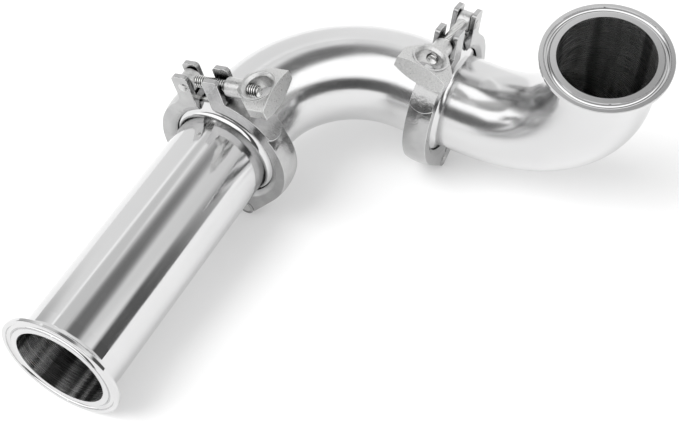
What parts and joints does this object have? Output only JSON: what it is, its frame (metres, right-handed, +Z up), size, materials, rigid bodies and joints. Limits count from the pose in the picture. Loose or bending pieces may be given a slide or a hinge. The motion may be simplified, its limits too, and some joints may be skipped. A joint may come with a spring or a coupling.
{
  "type": "sanitary elbow run",
  "caption": "Polished sanitary pipe run: a straight flanged spool and two bent elbows held end to end by hinged wing nut clamps, with an open port at each end.",
  "frame": {"origin": "centre of the bounding box's base, on the floor the run lies on", "axes": "+Z up, +Y along the spool from its open port towards the first clamp, +X towards the second elbow"},
  "size_m": [0.2418, 0.2774, 0.1262],
  "materials": {
    "tube_steel": "mirror polished stainless steel",
    "ferrule_steel": "mirror polished stainless steel",
    "clamp_casting": "polished investment casting",
    "nut_casting": "rough as-cast stainless steel",
    "clamp_hardware": "machined stainless steel",
    "seal": "white food-grade rubber"
  },
  "bodies": {
    "pipe_run": {"spool_tube": "tube_steel", "spool_open_ferrule": "ferrule_steel", "spool_inner_ferrule": "ferrule_steel", "elbow_1_tube": "tube_steel", "elbow_1_first_ferrule": "ferrule_steel", "elbow_1_second_ferrule": "ferrule_steel", "elbow_2_tube": "tube_steel", "elbow_2_first_ferrule": "ferrule_steel", "elbow_2_open_ferrule": "ferrule_steel", "gasket_1": "seal", "gasket_2": "seal", "clamp_1_pivot_jaw": "clamp_casting", "clamp_1_hinge_pin": "clamp_hardware", "clamp_1_pivot_pin": "clamp_hardware", "clamp_2_pivot_jaw": "clamp_casting", "clamp_2_hinge_pin": "clamp_hardware", "clamp_2_pivot_pin": "clamp_hardware"},
    "clamp_1_bolt": {"clamp_1_swing_bolt": "clamp_hardware"},
    "clamp_1_nut": {"clamp_1_wing_nut": "nut_casting"},
    "clamp_1_jaw": {"clamp_1_slotted_jaw": "clamp_casting"},
    "clamp_2_bolt": {"clamp_2_swing_bolt": "clamp_hardware"},
    "clamp_2_nut": {"clamp_2_wing_nut": "nut_casting"},
    "clamp_2_jaw": {"clamp_2_slotted_jaw": "clamp_casting"}
  },
  "joints": [
    {"name": "clamp_1_bolt_swing", "type": "hinge", "parent": "pipe_run", "child": "clamp_1_bolt", "pos_m": [-0.10125, 0.01351, 0.08389], "axis": [0, -0.9968, -0.0798], "range_deg": [0, 150]},
    {"name": "clamp_1_nut_travel", "type": "slide", "parent": "clamp_1_bolt", "child": "clamp_1_nut", "axis": [0.9758, -0.0174, 0.218], "range_m": [0, 0.018]},
    {"name": "clamp_1_jaw_hinge", "type": "hinge", "parent": "pipe_run", "child": "clamp_1_jaw", "pos_m": [-0.07481, 0.01983, 0.00501], "axis": [0, 0.9968, 0.0798], "range_deg": [0, 11.4]},
    {"name": "clamp_2_bolt_swing", "type": "hinge", "parent": "pipe_run", "child": "clamp_2_bolt", "pos_m": [0.0026, 0.11641, 0.08547], "axis": [-0.9974, -0.0058, 0.0725], "range_deg": [0, 150]},
    {"name": "clamp_2_nut_travel", "type": "slide", "parent": "clamp_2_bolt", "child": "clamp_2_nut", "axis": [0.0151, -0.9916, 0.1287], "range_m": [0, 0.018]},
    {"name": "clamp_2_jaw_hinge", "type": "hinge", "parent": "pipe_run", "child": "clamp_2_jaw", "pos_m": [-0.00313, 0.09526, 0.00496], "axis": [0.9974, 0.0058, -0.0725], "range_deg": [0, 11.4]}
  ],
  "couplings": [
    {"joint": "clamp_1_jaw_hinge", "follows": "clamp_1_nut_travel", "rad_per_m": 11},
    {"joint": "clamp_2_jaw_hinge", "follows": "clamp_2_nut_travel", "rad_per_m": 11}
  ]
}
